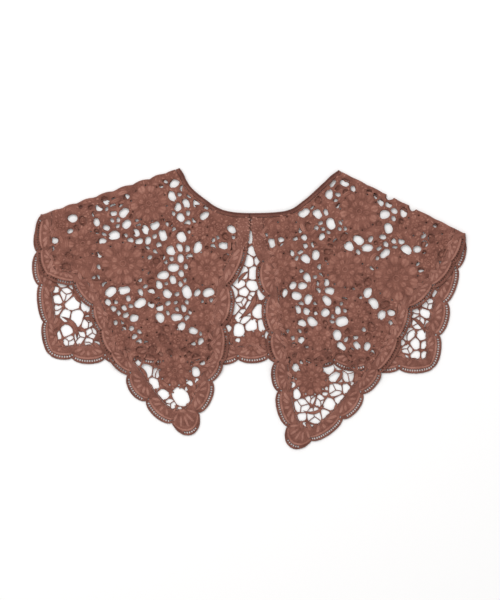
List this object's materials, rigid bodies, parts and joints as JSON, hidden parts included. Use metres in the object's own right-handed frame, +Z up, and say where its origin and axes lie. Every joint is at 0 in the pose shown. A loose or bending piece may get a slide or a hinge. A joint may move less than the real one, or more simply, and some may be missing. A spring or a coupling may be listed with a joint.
{
  "type": "detachable lace collar",
  "caption": "Detachable guipure lace collar, folded at the shoulders and laid flat: square back, pointed fronts, scalloped edging and a narrow neck band.",
  "frame": {"origin": "middle of the collar's footprint on the surface it lies on", "axes": "+X from the left shoulder to the right one as seen from above, +Y towards the neck, +Z up from the surface"},
  "size_m": [0.4346, 0.2811, 0.0036],
  "materials": {
    "lace": "matte",
    "edging": "matte",
    "neck_band": "matte"
  },
  "bodies": {
    "root": {"back_lace": "lace", "left_front_lace": "lace", "right_front_lace": "lace", "back_edging": "edging", "left_front_edging": "edging", "right_front_edging": "edging", "back_neck_band": "neck_band", "left_neck_band": "neck_band", "right_neck_band": "neck_band"}
  },
  "joints": []
}
